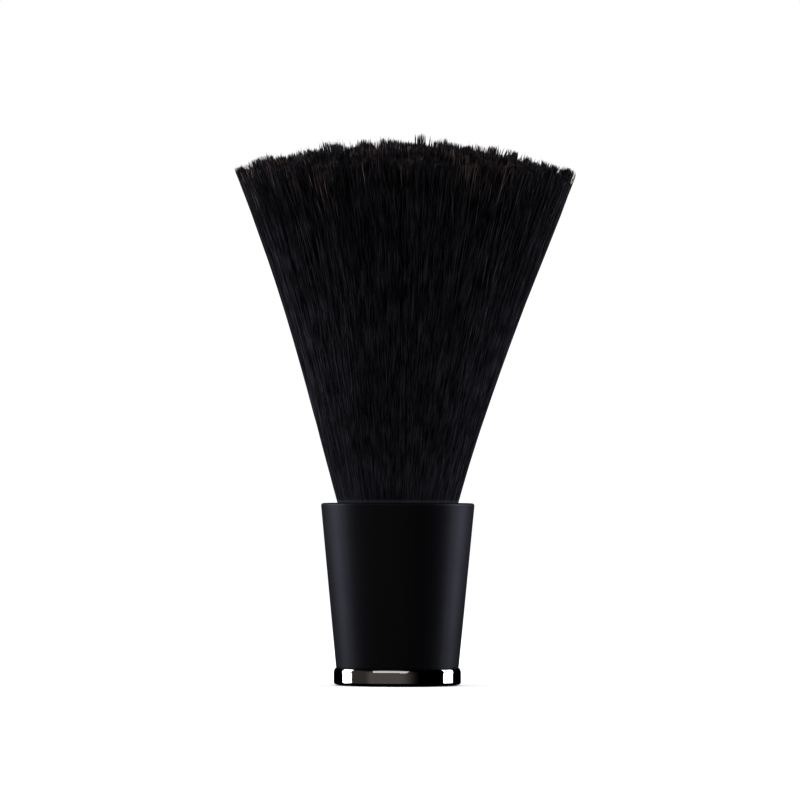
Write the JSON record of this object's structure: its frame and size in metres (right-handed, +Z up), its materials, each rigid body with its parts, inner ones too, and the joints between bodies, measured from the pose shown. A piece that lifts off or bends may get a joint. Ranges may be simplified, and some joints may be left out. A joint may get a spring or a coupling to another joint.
{
  "type": "neck duster brush",
  "caption": "Upright neck duster brush: a round head of long black hair flares from a short tapered soft-touch handle that stands on a dark chrome ring.",
  "frame": {"origin": "centre of the underside of the foot pad, on the surface that the brush stands on", "axes": "+Z up along the handle, from the foot to the tips of the hair; the brush is round about Z, so X and Y are any two level directions; the hair leans about Y"},
  "size_m": [0.101, 0.101, 0.163],
  "materials": {
    "soft_touch_black": "soft-touch matte coating",
    "dark_chrome": "polished dark chrome",
    "black_hair": "straight black hair, brown at the tips",
    "core_plastic": "moulded",
    "plate_plastic": "moulded, fine texture",
    "pad_rubber": "matte",
    "adhesive_film": "foam adhesive film",
    "plain_steel": "turned",
    "zinc_steel": "zinc plated",
    "insert_brass": "turned",
    "potting_resin": "cast",
    "plug_wood": "turned",
    "waxed_cord": "waxed thread"
  },
  "bodies": {
    "handle": {"ballast_slug": "plain_steel", "base_plate": "plate_plastic", "base_ring": "dark_chrome", "binding_cord": "waxed_cord", "bristle_cup": "core_plastic", "bristle_roots": "black_hair", "centre_screw": "zinc_steel", "flat_washer": "zinc_steel", "foot_pad": "pad_rubber", "handle_core": "core_plastic", "handle_sleeve": "soft_touch_black", "pad_adhesive": "adhesive_film", "resin_plug": "potting_resin", "rim_gasket": "pad_rubber", "spreader_plug": "plug_wood", "spring_washer": "zinc_steel", "threaded_insert": "insert_brass"},
    "bristles": {"bristle_head": "black_hair"}
  },
  "joints": [
    {"name": "bristle_lean", "type": "hinge", "parent": "handle", "child": "bristles", "pos_m": [0, 0, 0.0645], "axis": [0, 1, 0], "range_deg": [-25, 25], "stiffness_Nm_per_rad": 0.3}
  ]
}
